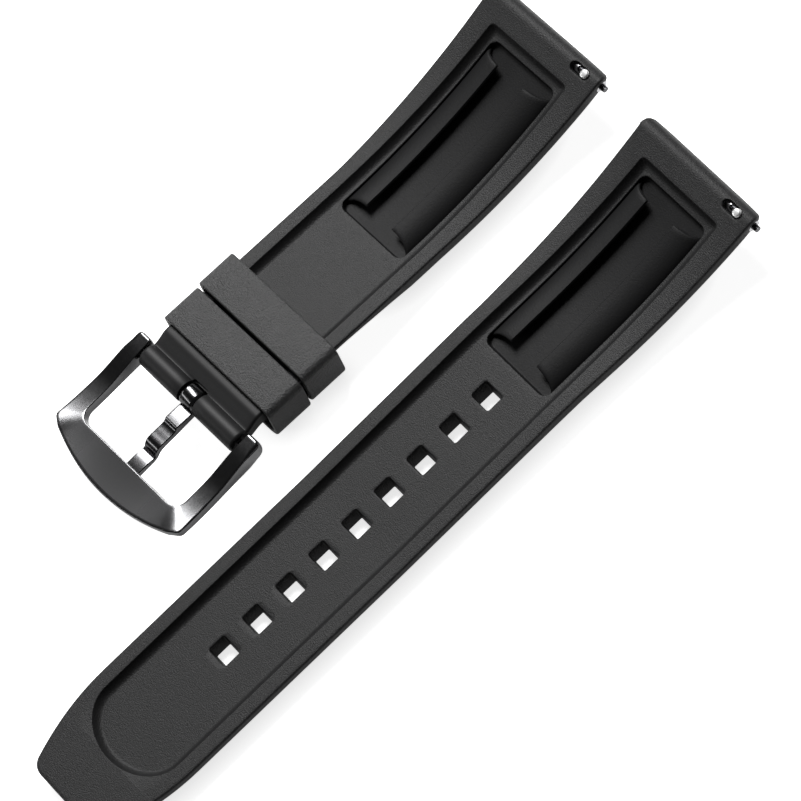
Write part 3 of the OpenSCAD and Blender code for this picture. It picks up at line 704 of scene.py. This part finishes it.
def keeper(name, s, lift, material):
    """A keeper round the strap, its inner top lift above the inner face."""
    outer = soft_rect(KEEPER_IN_W + 2 * KEEPER_T, KEEPER_H, KEEPER_R, KEEPER_LOW_R)
    inner = soft_rect(KEEPER_IN_W, KEEPER_IN_H, KEEPER_IN_R, KEEPER_IN_LOW_R)
    edge = [(-y, d) for y, d in quarter_steps(KEEPER_EDGE, 18)]
    path = edge[::-1] + [(y, KEEPER_T - d) for y, d in edge]
    path += [(-KEEPER_L - y, KEEPER_T - d) for y, d in edge[::-1]]
    path += [(-KEEPER_L - y, d) for y, d in edge]
    rings = []
    for o, i in zip(outer, inner):
        step = (i - o) / KEEPER_T
        rings.append([(o[0] + step[0] * d, y, o[1] + step[1] * d + lift - KEEPER_IN_H / 2) for y, d in path])

    def put(points):
        return on_head(turned(points, -LEAN) + place(0, s, 0, LEAN))

    return solid(name, ring_skin(rings, loop=True), put, material)


# Buckle, tongue and levers

def frame_outlines():
    """Outer and inner outline of the frame from eye to eye, and the number of its first corner's point."""
    inner, corner_y = FRAME_IN_W / 2, -FRAME_REACH - CROSSBAR_W
    turn_points = 25

    def bow(share):
        return np.stack([-FRAME_HALF * share, corner_y - CROSSBAR_BULGE * (1 - share * share)], 1)

    def corner(r, stop, count):
        arc = np.radians(np.linspace(180, stop, count))
        return r * (1 + np.stack([np.cos(arc), np.sin(arc)], 1))

    eye_y = EYE_R * np.sin(np.radians(np.arange(90, 0, -10)))
    arm_y = np.concatenate([eye_y, np.linspace(0, -FRAME_REACH + FRAME_IN_R, 22)])
    shrink = round_off(EYE_R - arm_y, FRAME_CORNER) * 0.8
    flare = (ARM_W - EYE_W) / (-corner_y - FRAME_CORNER)
    outer_arm = np.stack([shrink - inner - EYE_W - np.maximum(0, -arm_y) * flare, arm_y], 1)
    inner_arm = np.stack([-inner - shrink, arm_y], 1)

    bar_start = (inner - FRAME_IN_R) / FRAME_HALF
    outer_corner = corner(FRAME_CORNER, 238, 7) + [-FRAME_HALF, corner_y]
    outer_turn = np.concatenate([outer_arm[-1:], outer_corner, bow(np.linspace(0.88, bar_start, 14))])
    outer_turn = along(outer_turn, turn_points)
    inner_turn = along(corner(FRAME_IN_R, 270, 13) - [inner, FRAME_REACH], turn_points)

    share = np.linspace(bar_start, 0, 14)
    inner_bar = np.stack([-FRAME_HALF * share, np.full(14, -FRAME_REACH)], 1)
    outer = np.concatenate([outer_arm, outer_turn[1:], bow(share)[1:]])
    inner = np.concatenate([inner_arm, inner_turn[1:], inner_bar[1:]])
    outer, inner = (np.concatenate([left, left[-2::-1] * [-1, 1]]) for left in (outer, inner))
    return outer, inner, len(arm_y) - 1 + turn_points // 2


def sag(y):
    """Height by which the arms sag between the bar and the crossbar; they rise again past it."""
    t = max(0, -y / FRAME_REACH)
    return FRAME_SAG * 4 * t * (1 - t)


def frame_faces(y, shift):
    """Heights of the frame's upper and lower face at y; shift moves both, but for the eyes."""
    t = float(ramp(-y, 5, FRAME_REACH + CROSSBAR_W + CROSSBAR_BULGE + 1))
    bow = CROSSBAR_BOW * t * t + shift
    high = FRAME_ABOVE * FRAME_T + bow - FRAME_TAPER * t
    low = (FRAME_ABOVE - 1) * FRAME_T + bow + FRAME_TAPER * t
    near_eye = smooth_step(float(ramp(y, -EYE_BLEND, 0)))
    high += (EYE_TOP - float(round_off(EYE_R - y, EYE_END_R)) - high) * near_eye
    low += (-math.sqrt(max(0, EYE_R ** 2 - max(0, y) ** 2)) - low) * near_eye
    return high, low


# Edge steps of the frame's section, and the shares at which points lie across its flat top
FRAME_EDGE_STEP, FLAT_SHARES = 18, (0.08, 0.3, 0.5, 0.7, 0.92)
EDGE_POINTS = len(quarter_steps(1, FRAME_EDGE_STEP))


def frame_section(o, i, on_crossbar, corner_rise):
    """One ring of the frame between its outer point o and its inner point i."""
    width = float(np.linalg.norm(i - o))
    r = min(FRAME_EDGE + EYE_EDGE * max(0, 1 - max(0, -o[1]) / 1.5), width * 0.45)
    r_in = min(FRAME_IN_EDGE, width * 0.3)
    out_edge = [(d, drop) for drop, d in quarter_steps(r, FRAME_EDGE_STEP)]
    in_edge = [(width - d, drop) for drop, d in quarter_steps(r_in, FRAME_EDGE_STEP)]
    flat = [(r + (width - r - r_in) * share, 0) for share in FLAT_SHARES]
    top = out_edge[::-1] + flat + in_edge
    towards_corner = (o[0] / FRAME_HALF) ** 2
    edge_shift = corner_rise * towards_corner - CROSSBAR_TILT * (1 - towards_corner)
    ring = []
    for number, (d, drop) in enumerate(top + in_edge[::-1] + out_edge):
        x, y = o + (i - o) * d / width
        of_bar, of_arm = edge_shift * (1 - d / width), -sag(y)
        high, low = frame_faces(y, of_arm + (of_bar - of_arm) * on_crossbar)
        drop = min(drop, (high - low) * 0.5)
        ring.append((x, y, high - drop if number < len(top) else low + drop))
    return ring


def buckle(material):
    """The buckle: a U with two round eyes and a wide bowed crossbar, its edges broken."""
    outer, inner, mitre = frame_outlines()
    last = len(outer) - 1
    number = np.arange(last + 1)
    from_end = np.minimum(number, last - number)
    on_crossbar = smooth_step(ramp(from_end, mitre - 5, mitre + 7))
    corner_rise = -sag(outer[mitre][1])
    rings = [frame_section(o, i, share, corner_rise) for o, i, share in zip(outer, inner, on_crossbar)]
    points, faces = ring_skin(rings)
    piece = mesh_object("buckle_frame_piece", on_frame(points), faces, material)

    brushed = piece.data.attributes.new("brushed", "FLOAT", "POINT")
    share = np.where(from_end < mitre, 0, 1 - ramp(np.abs(outer[:, 0]) / FRAME_HALF, 0.45, 0.95))
    on_top = np.zeros(len(rings[0]))
    on_top[EDGE_POINTS:EDGE_POINTS + len(FLAT_SHARES)] = 1
    brushed.data.foreach_set("value", np.outer(share, on_top).ravel())
    recalculate(piece)

    for side in (-1, 1):
        start, stop = FRAME_IN_W / 2 - 1, FRAME_IN_W / 2 + EYE_W - 0.9
        carve(piece, rod(BB_TIP_D + BORE_PLAY, side * start, side * stop), on_frame, material)
    shade(piece, 32)
    return piece


def blade_outline():
    """Outline of the tongue's blade from the side: a crest, a step, and a dip under the crossbar."""
    tip, reach = FRAME_REACH + CROSSBAR_W + 0.3, FRAME_REACH
    under = -FRAME_T * 0.53 - FRAME_REACH * math.sin(math.radians(DROOP_A)) - 0.1
    crest, step = -0.38, -0.84
    upper = [[-1.1, crest - 0.3], [-2.6, crest - 0.13], [-4.1, crest], [-4.5, crest - 0.04], [-5.1, step],
             [-6.6, step + 0.02], [-8.0, step + 0.03], [-8.8, step - 0.5], [-9.3, under - 0.25],
             [-10.4, under - 0.06], [-reach + 0.8, under + 0.01], [-reach - 0.6, under],
             [-tip + 0.7, under - 0.03]]
    nose = [[-tip + 0.25, under - 0.16], [-tip + 0.04, under - 0.4], [-tip + 0.03, under - 0.62],
            [-tip + 0.22, under - 0.82]]
    low_under, low_step, knuckle = under - TONGUE_T, step - TONGUE_T, -LOOP_R + 0.05
    lower = [[-tip + 0.7, low_under + 0.12], [-reach - 0.6, low_under], [-reach + 1.2, low_under],
             [-9.2, low_under + 0.1], [-7.8, low_step], [-5, low_step + 0.05], [-3, knuckle], [-0.6, knuckle]]
    back = [[0, -LOOP_R + 0.4], [0, crest]]
    return np.concatenate([curve_through(upper), nose, curve_through(lower), back])


def knuckle_shape():
    """The ring of the tongue round the buckle's bar, with rounded edges."""
    half, r = KNUCKLE_W / 2, LOOP_R - 0.05
    path = [(half, (BB_D + BORE_PLAY) / 2)] + [(half - x, r - d) for x, d in quarter_steps(KNUCKLE_EDGE, 18)]
    return lathe(path + [(-x, q) for x, q in path[::-1]], 72, loop=True)


def tongue(material):
    """The tongue: a knuckle round the bar and a blade that dips under the crossbar."""
    shape = rounded_bar(blade_outline(), TONGUE_W / 2, BLADE_EDGE)
    blade = solid("tongue_piece", shape, on_buckle_bar, material)
    combine(blade, solid("knuckle", knuckle_shape(), on_buckle_bar, material), "UNION")
    carve(blade, rod(BB_D + BORE_PLAY, -SLOT_W, SLOT_W), on_buckle_bar, material)
    shade(blade, 35)
    return blade


def lever(name, half, material):
    """The knob on the plunger of a quick-release bar, turned and polished."""
    foot, top, r, stem, sides = QR_D / 2 + 0.1, BAR_DEPTH + 0.35, KNOB_D / 2, 0.4, 64
    profile = [(stem, -0.3), (stem, foot - 0.02), (stem + 0.06, foot), (r - 0.06, foot), (r, foot + 0.06)]
    profile += [(r, top - 0.26), (r - 0.02, top - 0.18), (r - 0.08, top - 0.09), (r - 0.17, top - 0.03),
                (r - 0.3, top - 0.005), (0.001, top)]
    t = np.linspace(0, 2 * np.pi, sides, endpoint=False)
    rings = [np.stack([KNOB_X + q * np.cos(t), q * np.sin(t), np.full(sides, z)], -1) for q, z in profile]
    return solid(name, ring_skin(rings), on_lug_bar(half), material)


# Node trees and materials

def new_material(name):
    """A material with its node tree and its Principled shader."""
    material = bpy.data.materials.new(name)
    material.use_nodes = True
    tree = material.node_tree
    return material, tree, tree.nodes["Principled BSDF"]


def add(tree, kind, **values):
    """A node, with its properties or sockets set from the given values."""
    node = tree.nodes.new(kind)
    for key, value in values.items():
        if hasattr(node, key):
            setattr(node, key, value)
        else:
            node.inputs[key.replace("_", " ")].default_value = value
    return node


def wire(tree, *links):
    """Joins nodes: each link gives a node, its output, the next node and its input."""
    for source, output, target, socket in links:
        tree.links.new(source.outputs[output], target.inputs[socket])


def sockets(tree, in_out, *named):
    """Gives a node group its inputs or outputs from their names and kinds."""
    for name, kind in named:
        tree.interface.new_socket(name=name, in_out=in_out, socket_type="NodeSocket" + kind)


SURFACE_VALUES = ("Grain Scale", "Grain Depth", "Tone", "Gloss", "Gloss Change")


def surface_group():
    """Fine unevenness of a surface: grain, and slow changes of tone and gloss."""
    group = bpy.data.node_groups.new("surface", "ShaderNodeTree")
    sockets(group, "INPUT", *((name, "Float") for name in SURFACE_VALUES), ("Color", "Color"))
    sockets(group, "OUTPUT", ("Color", "Color"), ("Roughness", "Float"), ("Normal", "Vector"))
    start, end = group.nodes.new("NodeGroupInput"), group.nodes.new("NodeGroupOutput")
    place_on = group.nodes.new("ShaderNodeTexCoord")
    grain = add(group, "ShaderNodeTexNoise", Detail=3.0, Roughness=0.6)
    slow = add(group, "ShaderNodeTexNoise", Scale=220.0, Detail=3.0, Roughness=0.55)
    tone = add(group, "ShaderNodeMath", operation="MULTIPLY_ADD")
    middle = add(group, "ShaderNodeMath", operation="MULTIPLY_ADD")
    middle.inputs[1].default_value, middle.inputs[2].default_value = -0.5, 1.0
    colour = add(group, "ShaderNodeVectorMath", operation="SCALE")
    gloss = add(group, "ShaderNodeMath", operation="MULTIPLY_ADD")
    bump = add(group, "ShaderNodeBump", Distance=0.0001)
    wire(group, (place_on, "Object", grain, "Vector"), (place_on, "Object", slow, "Vector"),
         (start, "Grain Scale", grain, "Scale"), (slow, "Fac", tone, 0), (start, "Tone", tone, 1),
         (start, "Tone", middle, 0), (middle, 0, tone, 2), (start, "Color", colour, 0),
         (tone, 0, colour, "Scale"), (colour, 0, end, "Color"),
         (grain, "Fac", gloss, 0), (start, "Gloss Change", gloss, 1),
         (start, "Gloss", gloss, 2), (gloss, 0, end, "Roughness"), (start, "Grain Depth", bump, "Strength"),
         (grain, "Fac", bump, "Height"), (bump, "Normal", end, "Normal"))
    return group


def coat(name, color, shader_values, *surface_values):
    """A material from its shader's own values and the surface group's, in the order of SURFACE_VALUES."""
    material, tree, shader = new_material(name)
    for key, value in shader_values.items():
        shader.inputs[key].default_value = value
    node = tree.nodes.new("ShaderNodeGroup")
    node.node_tree = surface
    node.inputs["Color"].default_value = (*color, 1)
    for key, value in zip(SURFACE_VALUES, surface_values):
        node.inputs[key].default_value = value
    wire(tree, (node, "Color", shader, "Base Color"), (node, "Roughness", shader, "Roughness"),
         (node, "Normal", shader, "Normal"))
    return material


def rubber(name, color, scale, depth, gloss, shine):
    return coat(name, color, {"Specular IOR Level": shine}, scale, depth, 0.12, gloss, 0.12)


def metal(name, color, scale, depth, gloss):
    return coat(name, color, {"Metallic": 1.0}, scale, depth, 0.1, gloss, 0.06)


def brush(material, gloss):
    """Makes the metal duller, up to the given roughness, where the mesh says it's brushed."""
    tree = material.node_tree
    shader = tree.nodes["Principled BSDF"]
    polished = shader.inputs["Roughness"].links[0].from_node
    share = add(tree, "ShaderNodeAttribute", attribute_name="brushed")
    mix = tree.nodes.new("ShaderNodeMix")
    mix.inputs[3].default_value = gloss
    wire(tree, (share, "Fac", mix, 0), (polished, "Roughness", mix, 2), (mix, 0, shader, "Roughness"))


# The part

surface = surface_group()
strap_rubber = rubber("strap_rubber", (0.009, 0.009, 0.0093), 5600, 0.8, 0.42, 0.255)
# Pocket floor and fins: a darker copy of the strap's rubber with less sheen, painted shade in the deep recess
pocket_shade_rubber = rubber("pocket_shade_rubber", (0.008, 0.008, 0.0083), 5000, 0.4, 0.45, 0.105)
loop_rubber = rubber("loop_rubber", (0.01, 0.01, 0.0103), 9000, 0.1, 0.42, 0.2)
keeper_rubber = rubber("keeper_rubber", (0.018, 0.018, 0.0184), 3900, 1.7, 0.45, 0.5)
buckle_finish = metal("buckle_finish", (0.1, 0.1, 0.102), 1500, 0.001, 0.16)
brush(buckle_finish, 0.28)
tongue_finish = metal("tongue_finish", (0.08, 0.08, 0.082), 1500, 0.001, 0.16)
bar_steel = metal("bar_steel", (0.5, 0.5, 0.51), 4000, 0.08, 0.3)
tip_steel = metal("tip_steel", (0.1, 0.1, 0.105), 4000, 0.08, 0.35)
lever_steel = metal("lever_steel", (0.95, 0.95, 0.95), 3000, 0.02, 0.36)
spring_wire = metal("spring_wire", (0.55, 0.55, 0.56), 6000, 0.1, 0.3)

tail = tail_rubber(strap_rubber, pocket_shade_rubber)
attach(tail, "tail_half")
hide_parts("tail_strap")

head = buckle_rubber(strap_rubber, pocket_shade_rubber, loop_rubber)
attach(head, "buckle_half")
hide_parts("buckle_strap")

fixed = keeper("fixed_keeper_piece", FIXED_S, KEEPER_GAP / 2, keeper_rubber)
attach(fixed, "buckle_half")
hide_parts("fixed_keeper")

# The free keeper lies on the floor, and so a little lower on the strap than the fixed one
stand = float(rail(FREE_S, LEAN)[2]) / math.cos(LEAN)
free = keeper("free_keeper_piece", FREE_S, KEEPER_H - KEEPER_T - stand, keeper_rubber)
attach(free, "sliding_keeper")
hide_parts("free_keeper")

frame_piece = buckle(buckle_finish)
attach(frame_piece, "buckle")
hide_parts("buckle_frame")

tongue_piece = tongue(tongue_finish)
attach(tongue_piece, "tongue")
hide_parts("buckle_tongue")

for name, body, node, half in (("tail_lever_piece", "tail_release", "tail_bar_lever", on_tail),
                               ("head_lever_piece", "head_release", "head_bar_lever", on_head)):
    knob = lever(name, half, lever_steel)
    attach(knob, body)
    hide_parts(node)

# The solids that stay as they are take their materials
nodes = {"buckle_bar_tube": tip_steel, "buckle_bar_spring": spring_wire}
nodes.update({f"buckle_bar_tip_{side}": tip_steel for side in ("left", "right")})
for end in ("tail", "head"):
    nodes.update({f"{end}_bar_tube": bar_steel, f"{end}_bar_spring": spring_wire})
    nodes.update({f"{end}_bar_fixed_tip": tip_steel, f"{end}_bar_plunger": tip_steel})
for name, material in nodes.items():
    for slot in bpy.data.objects[name].material_slots:
        slot.material = material


# Floor, light and camera

# The floor's own light as the camera and as metal sees it, and the distance within which a painted contact
# shadow from ambient occlusion dims it
FLOOR_GLOW, FLOOR_SHINE, FLOOR_SHADE_REACH = 0.93, 0.3, 2.5 * MM
STUDIO_LIGHT = 0.05


def floor():
    """A white table that keeps the strap's shadow, and stays white where camera or metal looks at it."""
    bpy.ops.mesh.primitive_plane_add(size=6)
    plane = bpy.context.object
    plane.name = "floor"
    material, tree, shader = new_material("floor")
    shader.inputs["Base Color"].default_value = (0.8, 0.8, 0.8, 1)
    shader.inputs["Roughness"].default_value = 0.9
    shader.inputs["Emission Color"].default_value = (1, 1, 1, 1)
    wire(tree, (floor_glow(tree), 0, shader, "Emission Strength"))
    plane.data.materials.append(material)


def floor_glow(tree):
    """Own light: white to the camera and through glass, dimmer in mirrors, and dimmed by a painted contact
    shadow where things stand close.
    """
    path = tree.nodes.new("ShaderNodeLightPath")
    direct = add(tree, "ShaderNodeMath", operation="MAXIMUM")
    # Ambient occlusion lowers the floor's own light next to the part: a painted contact shadow
    near = add(tree, "ShaderNodeAmbientOcclusion", samples=8, Distance=FLOOR_SHADE_REACH)
    level = add(tree, "ShaderNodeMapRange", From_Min=0.3, To_Min=FLOOR_GLOW * 0.8, To_Max=FLOOR_GLOW)
    seen = add(tree, "ShaderNodeMath", operation="MULTIPLY")
    glow = add(tree, "ShaderNodeMath", operation="MULTIPLY_ADD")
    glow.inputs[1].default_value = FLOOR_SHINE
    wire(tree, (path, "Is Camera Ray", direct, 0), (path, "Is Transmission Ray", direct, 1),
         (near, "AO", level, "Value"), (direct, 0, seen, 0), (level, "Result", seen, 1),
         (path, "Is Glossy Ray", glow, 0), (seen, 0, glow, 2))
    return glow


def lamp(name, where, size, power):
    """A lamp that points at the part."""
    light = bpy.data.lights.new(name, "AREA")
    light.shape, light.size, light.size_y = "RECTANGLE", size[0], size[1]
    light.energy = power
    piece = bpy.data.objects.new(name, light)
    bpy.context.scene.collection.objects.link(piece)
    turn = Vector(where).to_track_quat("Z", "Y").to_matrix().to_4x4()
    piece.matrix_world = Matrix.Translation(where) @ turn


def camera():
    """The camera that was fitted to the photograph: direction, distance, turn about its axis and lens."""
    azimuth, elevation, roll = (math.radians(a) for a in (-6.594, 63.147, -37.885))
    target, distance = Vector((5.056 * MM, 9.268 * MM, 0)), 0.701099
    level = math.cos(elevation)
    back = Vector((level * math.cos(azimuth), level * math.sin(azimuth), math.sin(elevation)))
    right = (-back).cross(Vector((0, 0, 1))).normalized()
    up = right.cross(-back)
    x = right * math.cos(roll) + up * math.sin(roll)
    y = up * math.cos(roll) - right * math.sin(roll)
    data = bpy.data.cameras.new("camera")
    data.sensor_width, data.lens = 36, 237.4
    data.clip_start, data.clip_end = 0.01, 20
    piece = bpy.data.objects.new("camera", data)
    bpy.context.scene.collection.objects.link(piece)
    rotation = Matrix((x, y, back)).transposed().to_4x4()
    piece.matrix_world = Matrix.Translation(target + back * distance) @ rotation
    bpy.context.scene.camera = piece


def world():
    """A dim studio that the camera sees as white."""
    studio = bpy.data.worlds.new("studio")
    bpy.context.scene.world = studio
    studio.use_nodes = True
    tree = studio.node_tree
    background = tree.nodes["Background"]
    background.inputs["Color"].default_value = (1, 1, 1, 1)
    path = tree.nodes.new("ShaderNodeLightPath")
    strength = add(tree, "ShaderNodeMapRange", To_Min=STUDIO_LIGHT, To_Max=1.0)
    wire(tree, (path, "Is Camera Ray", strength, "Value"), (strength, "Result", background, "Strength"))


floor()
world()
lamp("strip", (-0.331, 0.223, 0.511), (0.2, 0.36), 6.5)
lamp("edge", (-0.363, -0.393, 0.272), (0.5, 0.08), 0.9)
camera()
bpy.context.scene.view_settings.view_transform = "Standard"
